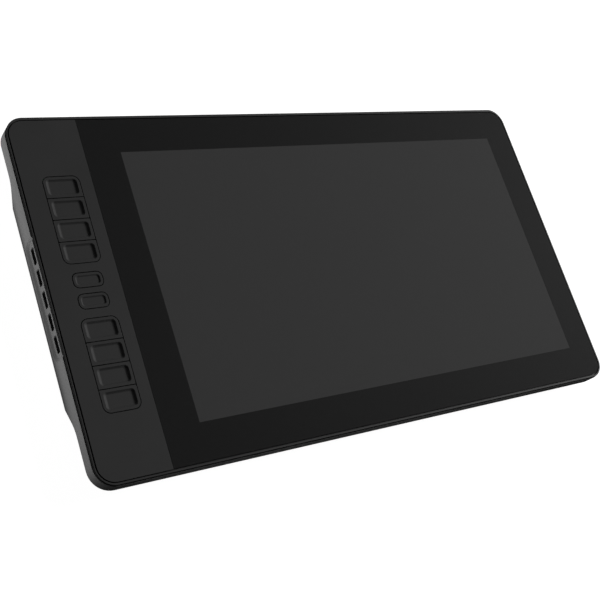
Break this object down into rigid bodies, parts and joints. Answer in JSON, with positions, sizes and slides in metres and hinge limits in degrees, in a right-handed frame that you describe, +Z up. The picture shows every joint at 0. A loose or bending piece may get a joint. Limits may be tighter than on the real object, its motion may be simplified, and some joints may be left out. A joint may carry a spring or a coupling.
{
  "type": "graphics tablet with screen",
  "caption": "Pen display on rubber feet: a flat glass-fronted screen with press keys beside it, buttons in a side pocket, and a thicker middle behind with ports and mounting inserts.",
  "frame": {"origin": "on the desk, under the middle of the outline, where the feet touch", "axes": "+X to the right as the user sees it, +Y towards the top edge, +Z up out of the screen"},
  "size_m": [0.4478, 0.2492, 0.0209],
  "materials": {
    "rear_cover": "fine moulded grain, dark grey",
    "front_frame": "smooth dark plastic rim",
    "key_panel": "fine matte grain, near black",
    "cover_glass": "etched anti-glare glass",
    "mask_print": "black ink border",
    "glass_tape": "black foam tape",
    "display_cell": "grey polariser over a dark panel",
    "optical_films": "milky diffuser films",
    "light_guide": "clear acrylic",
    "reflector_sheet": "white sheet",
    "light_bar": "white strip with yellow light sources",
    "panel_frame": "white moulded frame",
    "circuit_board": "green solder mask",
    "sheet_metal": "rolled sheet",
    "board_components": "black moulded packages",
    "socket_shell": "plated steel shell",
    "power_jack": "black moulded jack",
    "tact_switches": "black moulded bodies",
    "ribbon": "amber flexible circuit",
    "rubber_feet": "black rubber",
    "mount_inserts": "turned brass",
    "case_screws": "black-coated steel",
    "inner_screws": "zinc-plated steel",
    "express_key": "matte near-black plastic",
    "side_button": "black plastic",
    "switch_plunger": "white plastic"
  },
  "bodies": {
    "case": {"rear_cover": "rear_cover", "front_frame": "front_frame", "key_panel": "key_panel", "cover_glass": "cover_glass", "mask_print": "mask_print", "glass_tape": "glass_tape", "display_cell": "display_cell", "optical_films": "optical_films", "light_guide": "light_guide", "reflector_sheet": "reflector_sheet", "light_bar": "light_bar", "panel_frame": "panel_frame", "driver_board": "circuit_board", "digitizer_board": "circuit_board", "digitizer_shield": "sheet_metal", "back_plate": "sheet_metal", "main_board": "circuit_board", "board_components": "board_components", "video_socket": "socket_shell", "data_socket": "socket_shell", "power_jack": "power_jack", "key_board": "circuit_board", "tact_switches": "tact_switches", "display_ribbon": "ribbon", "digitizer_ribbon": "ribbon", "key_ribbon": "ribbon", "rubber_feet": "rubber_feet", "mount_inserts": "mount_inserts", "case_screws": "case_screws", "inner_screws": "inner_screws"},
    "key_1": {"express_key_1": "express_key", "key_plunger_1": "switch_plunger"},
    "key_2": {"express_key_2": "express_key", "key_plunger_2": "switch_plunger"},
    "key_3": {"express_key_3": "express_key", "key_plunger_3": "switch_plunger"},
    "key_4": {"express_key_4": "express_key", "key_plunger_4": "switch_plunger"},
    "key_5": {"express_key_5": "express_key", "key_plunger_5": "switch_plunger"},
    "key_6": {"express_key_6": "express_key", "key_plunger_6": "switch_plunger"},
    "key_7": {"express_key_7": "express_key", "key_plunger_7": "switch_plunger"},
    "key_8": {"express_key_8": "express_key", "key_plunger_8": "switch_plunger"},
    "key_9": {"express_key_9": "express_key", "key_plunger_9": "switch_plunger"},
    "key_10": {"express_key_10": "express_key", "key_plunger_10": "switch_plunger"},
    "side_1": {"side_button_1": "side_button", "side_plunger_1": "switch_plunger"},
    "side_2": {"side_button_2": "side_button", "side_plunger_2": "switch_plunger"},
    "side_3": {"side_button_3": "side_button", "side_plunger_3": "switch_plunger"},
    "side_4": {"side_button_4": "side_button", "side_plunger_4": "switch_plunger"},
    "side_5": {"side_button_5": "side_button", "side_plunger_5": "switch_plunger"}
  },
  "joints": [
    {"name": "key_1_press", "type": "slide", "parent": "case", "child": "key_1", "axis": [0, 0, -1], "range_m": [0, 0.0005], "stiffness_N_per_m": 1200, "springref_m": -0.0005},
    {"name": "key_2_press", "type": "slide", "parent": "case", "child": "key_2", "axis": [0, 0, -1], "range_m": [0, 0.0005], "stiffness_N_per_m": 1200, "springref_m": -0.0005},
    {"name": "key_3_press", "type": "slide", "parent": "case", "child": "key_3", "axis": [0, 0, -1], "range_m": [0, 0.0005], "stiffness_N_per_m": 1200, "springref_m": -0.0005},
    {"name": "key_4_press", "type": "slide", "parent": "case", "child": "key_4", "axis": [0, 0, -1], "range_m": [0, 0.0005], "stiffness_N_per_m": 1200, "springref_m": -0.0005},
    {"name": "key_5_press", "type": "slide", "parent": "case", "child": "key_5", "axis": [0, 0, -1], "range_m": [0, 0.0005], "stiffness_N_per_m": 1200, "springref_m": -0.0005},
    {"name": "key_6_press", "type": "slide", "parent": "case", "child": "key_6", "axis": [0, 0, -1], "range_m": [0, 0.0005], "stiffness_N_per_m": 1200, "springref_m": -0.0005},
    {"name": "key_7_press", "type": "slide", "parent": "case", "child": "key_7", "axis": [0, 0, -1], "range_m": [0, 0.0005], "stiffness_N_per_m": 1200, "springref_m": -0.0005},
    {"name": "key_8_press", "type": "slide", "parent": "case", "child": "key_8", "axis": [0, 0, -1], "range_m": [0, 0.0005], "stiffness_N_per_m": 1200, "springref_m": -0.0005},
    {"name": "key_9_press", "type": "slide", "parent": "case", "child": "key_9", "axis": [0, 0, -1], "range_m": [0, 0.0005], "stiffness_N_per_m": 1200, "springref_m": -0.0005},
    {"name": "key_10_press", "type": "slide", "parent": "case", "child": "key_10", "axis": [0, 0, -1], "range_m": [0, 0.0005], "stiffness_N_per_m": 1200, "springref_m": -0.0005},
    {"name": "side_1_press", "type": "slide", "parent": "case", "child": "side_1", "axis": [1, 0, 0], "range_m": [0, 0.0004], "stiffness_N_per_m": 1500, "springref_m": -0.0004},
    {"name": "side_2_press", "type": "slide", "parent": "case", "child": "side_2", "axis": [1, 0, 0], "range_m": [0, 0.0004], "stiffness_N_per_m": 1500, "springref_m": -0.0004},
    {"name": "side_3_press", "type": "slide", "parent": "case", "child": "side_3", "axis": [1, 0, 0], "range_m": [0, 0.0004], "stiffness_N_per_m": 1500, "springref_m": -0.0004},
    {"name": "side_4_press", "type": "slide", "parent": "case", "child": "side_4", "axis": [1, 0, 0], "range_m": [0, 0.0004], "stiffness_N_per_m": 1500, "springref_m": -0.0004},
    {"name": "side_5_press", "type": "slide", "parent": "case", "child": "side_5", "axis": [1, 0, 0], "range_m": [0, 0.0004], "stiffness_N_per_m": 1500, "springref_m": -0.0004}
  ]
}
